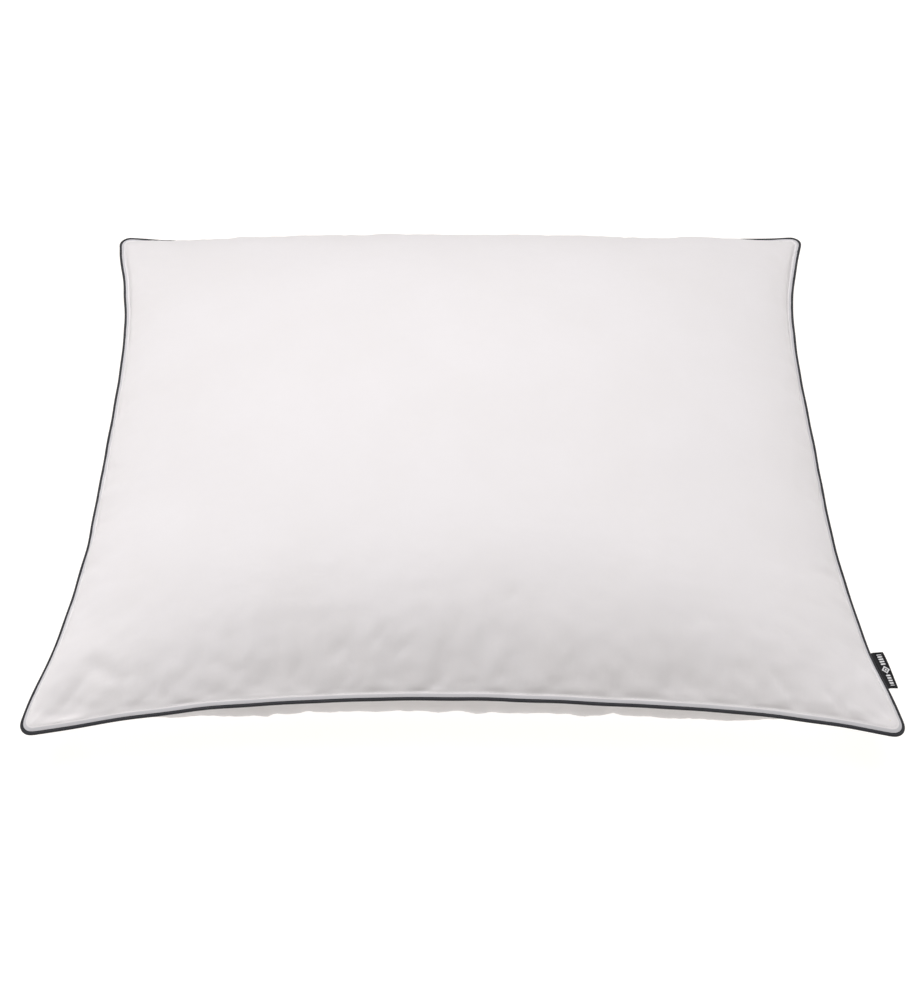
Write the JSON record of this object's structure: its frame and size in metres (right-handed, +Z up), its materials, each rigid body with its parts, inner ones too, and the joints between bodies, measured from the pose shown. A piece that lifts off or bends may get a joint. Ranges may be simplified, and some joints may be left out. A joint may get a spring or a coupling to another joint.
{
  "type": "bed pillow",
  "caption": "Plump rectangular bed pillow in white ticking, with a dark corded edge, a narrow top-stitched flange and a small woven label in the seam.",
  "frame": {"origin": "centre of the pillow's footprint, at the surface that it lies on", "axes": "+X along the long side, +Y from the front edge to the back edge, +Z up; the label is in the right-hand seam near the front corner"},
  "size_m": [0.6813, 0.5902, 0.15],
  "materials": {
    "ticking": "matte",
    "filling": "matte",
    "piping_cloth": "matte",
    "filler_cord": "matte",
    "white_thread": "satin",
    "label_weave": "satin"
  },
  "bodies": {
    "pillow": {"fill": "filling", "top_panel": "ticking", "bottom_panel": "ticking", "piping_sleeve": "piping_cloth", "piping_cord": "filler_cord", "seam_thread": "white_thread", "top_stitching": "white_thread", "bottom_stitching": "white_thread"},
    "label": {"label": "label_weave"}
  },
  "joints": [
    {"name": "label_flap", "type": "hinge", "parent": "pillow", "child": "label", "pos_m": [0.32908, -0.23586, 0.0552], "axis": [0.2349, -0.9694, -0.0714], "range_deg": [-70, 80], "stiffness_Nm_per_rad": 0.00003}
  ]
}
